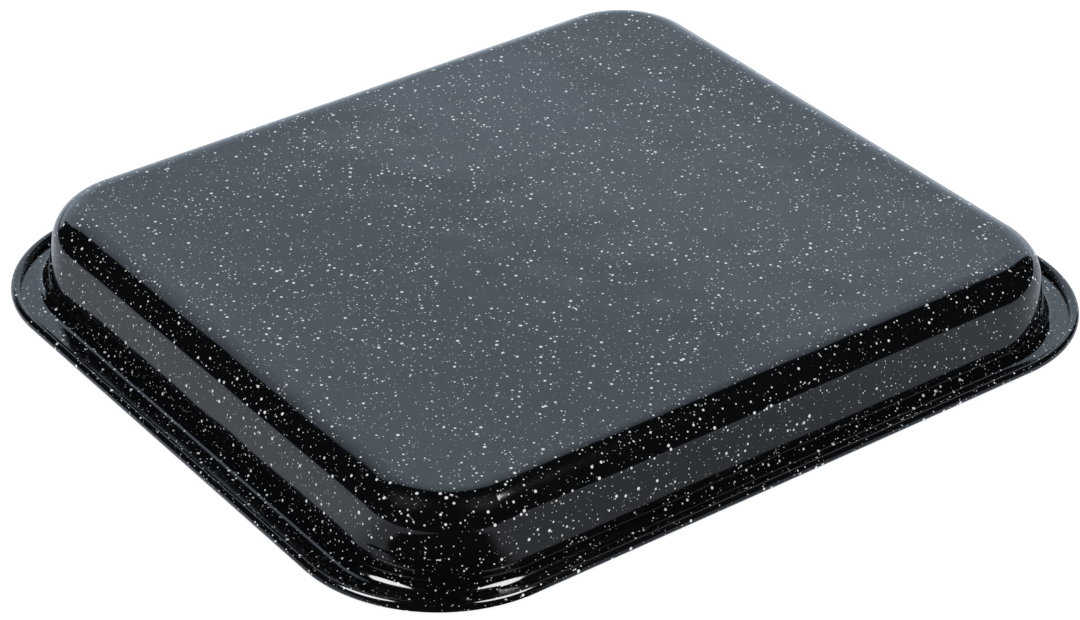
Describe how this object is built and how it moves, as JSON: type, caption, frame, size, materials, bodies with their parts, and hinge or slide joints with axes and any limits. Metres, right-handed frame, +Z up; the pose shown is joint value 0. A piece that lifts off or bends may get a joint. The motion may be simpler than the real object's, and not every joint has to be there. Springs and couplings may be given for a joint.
{
  "type": "enamelled baking tray",
  "caption": "Shallow rectangular baking tray of enamelled sheet steel, with round corners, leaning walls, a flat flange and a curled edge; modelled upside down.",
  "frame": {"origin": "middle of the rim's outline, on the surface that the rim stands on", "axes": "+X along the long side, +Y along the short side, +Z up through the base; the tray is upside down, so the underside of its base faces +Z"},
  "size_m": [0.4, 0.352, 0.0375],
  "materials": {
    "enamel": "gloss black vitreous enamel with fine white speckles"
  },
  "bodies": {
    "root": {"tray": "enamel"}
  },
  "joints": []
}
